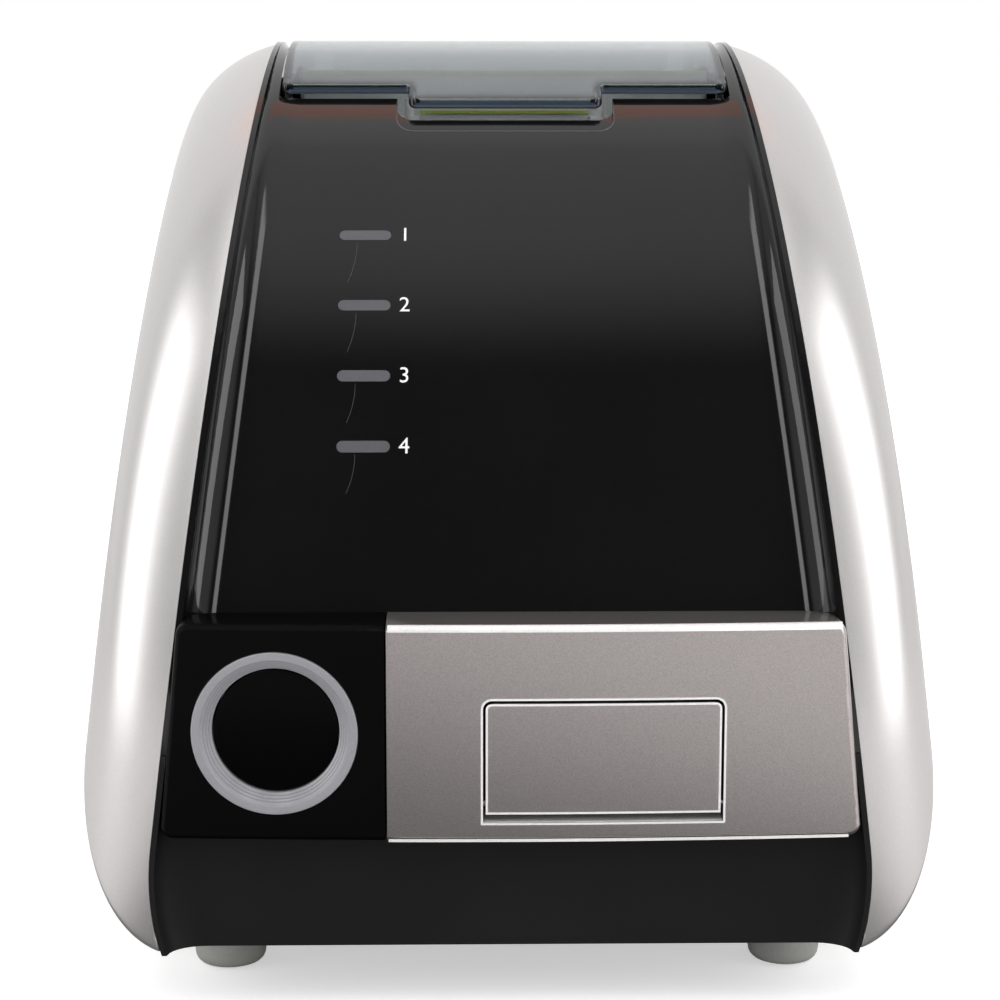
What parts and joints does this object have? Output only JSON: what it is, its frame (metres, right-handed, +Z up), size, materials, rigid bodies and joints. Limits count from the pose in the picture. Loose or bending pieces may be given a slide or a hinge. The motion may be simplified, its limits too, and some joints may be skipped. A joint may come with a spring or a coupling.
{
  "type": "phosphor plate scanner",
  "caption": "Tabletop scanner for dental imaging plates: arch-shaped body with silver side shells, smoked feed lid on top, lit ring button and a small outlet door at the front.",
  "frame": {"origin": "on the table under the middle of the object's bounding box", "axes": "+X to the right seen from the front, +Y to the rear, +Z up"},
  "size_m": [0.2186, 0.2924, 0.2456],
  "materials": {
    "satin_silver": "satin metallic silver paint",
    "gloss_black": "high gloss black",
    "matt_charcoal": "fine matt charcoal",
    "matt_black": "satin black",
    "metallic_silver": "satin metallic grey-silver with fine sparkle",
    "smoked_plastic": "clear blue-grey smoked plastic",
    "white_plastic": "matt white",
    "lime_plastic": "matt yellow-green",
    "frosted_plastic": "frosted grey-white",
    "grey_lens": "satin grey",
    "grey_rubber": "matt light grey",
    "black_rubber": "matt black",
    "dark_plastic": "matt dark grey",
    "zinc_steel": "zinc-plated sheet",
    "screw_steel": "bright steel",
    "cast_aluminium": "machined aluminium",
    "brass": "turned brass",
    "motor_black": "satin black",
    "mirror_face": "polished",
    "lens_glass": "clear optical",
    "circuit_board": "green solder mask"
  },
  "bodies": {
    "housing": {"back_plate_guide": "dark_plastic", "base_pan": "matt_charcoal", "board_posts": "brass", "button_board": "circuit_board", "button_panel": "matt_black", "button_switch": "dark_plastic", "chassis_plate": "zinc_steel", "data_socket": "screw_steel", "detector_housing": "motor_black", "door_hinge_pins": "screw_steel", "drive_belt": "black_rubber", "eraser_light_bar": "circuit_board", "fan_frame": "dark_plastic", "feed_deck": "white_plastic", "front_cover": "gloss_black", "front_plate_guide": "dark_plastic", "guide_strips": "lime_plastic", "housing_screws": "screw_steel", "indicator_lenses": "grey_lens", "laser_module": "brass", "laser_mount": "cast_aluminium", "left_side_shell": "satin_silver", "lid_hinge_pins": "screw_steel", "light_guide": "lens_glass", "light_ring": "frosted_plastic", "main_board": "circuit_board", "mirror_motor": "motor_black", "motor_bracket": "zinc_steel", "optical_bench": "cast_aluminium", "outlet_chute": "dark_plastic", "outlet_panel": "metallic_silver", "power_board": "circuit_board", "power_socket": "dark_plastic", "rear_cover": "gloss_black", "right_side_shell": "satin_silver", "rubber_feet": "grey_rubber", "scan_lens": "lens_glass", "scan_lens_mount": "cast_aluminium", "shaft_bushes": "brass", "status_board": "circuit_board", "stepper_motor": "motor_black", "transport_frame_left": "zinc_steel", "transport_frame_right": "zinc_steel"},
    "lid_body": {"lid": "smoked_plastic"},
    "door_body": {"outlet_door": "metallic_silver"},
    "button_body": {"power_button": "matt_black", "switch_plunger": "white_plastic"},
    "feed_drive": {"feed_roller": "black_rubber", "feed_shaft": "screw_steel", "feed_pulley": "white_plastic"},
    "exit_drive": {"exit_roller": "black_rubber", "exit_shaft": "screw_steel", "exit_pulley": "white_plastic"},
    "motor_rotor": {"motor_shaft": "screw_steel", "motor_pulley": "brass"},
    "feed_pinch": {"feed_pinch_roller": "white_plastic"},
    "exit_pinch": {"exit_pinch_roller": "white_plastic"},
    "mirror_rotor": {"polygon_mirror": "mirror_face"},
    "fan_turning": {"fan_rotor": "dark_plastic"}
  },
  "joints": [
    {"name": "lid_hinge", "type": "hinge", "parent": "housing", "child": "lid_body", "pos_m": [0, 0.044, 0.2334], "axis": [-1, 0, 0], "range_deg": [0, 95]},
    {"name": "outlet_door_hinge", "type": "hinge", "parent": "housing", "child": "door_body", "pos_m": [0.0228, -0.1432, 0.0575], "axis": [1, 0, 0], "range_deg": [0, 85]},
    {"name": "power_button_press", "type": "slide", "parent": "housing", "child": "button_body", "axis": [0.0456, 0.999, 0], "range_m": [0, 0.0012], "stiffness_N_per_m": 900},
    {"name": "feed_roller_spin", "type": "hinge", "parent": "housing", "child": "feed_drive", "pos_m": [0.0228, -0.0127, 0.2], "axis": [1, 0, 0], "continuous": true},
    {"name": "exit_roller_spin", "type": "hinge", "parent": "housing", "child": "exit_drive", "pos_m": [0.0228, -0.0127, 0.132], "axis": [1, 0, 0], "continuous": true},
    {"name": "motor_spin", "type": "hinge", "parent": "housing", "child": "motor_rotor", "pos_m": [-0.03, 0.032, 0.105], "axis": [1, 0, 0], "continuous": true},
    {"name": "feed_pinch_spin", "type": "hinge", "parent": "housing", "child": "feed_pinch", "pos_m": [0.0228, -0.0253, 0.2], "axis": [1, 0, 0], "continuous": true},
    {"name": "exit_pinch_spin", "type": "hinge", "parent": "housing", "child": "exit_pinch", "pos_m": [0.0228, -0.0253, 0.132], "axis": [1, 0, 0], "continuous": true},
    {"name": "mirror_spin", "type": "hinge", "parent": "housing", "child": "mirror_rotor", "pos_m": [0.0228, 0.086, 0.165], "axis": [0, 0, 1], "continuous": true},
    {"name": "fan_spin", "type": "hinge", "parent": "housing", "child": "fan_turning", "pos_m": [0, 0.128, 0.112], "axis": [0, 1, 0], "continuous": true}
  ],
  "couplings": [
    {"joint": "exit_roller_spin", "follows": "feed_roller_spin", "ratio": 1},
    {"joint": "motor_spin", "follows": "feed_roller_spin", "ratio": 1.5},
    {"joint": "feed_pinch_spin", "follows": "feed_roller_spin", "ratio": -1.4},
    {"joint": "exit_pinch_spin", "follows": "feed_roller_spin", "ratio": -1.4}
  ]
}
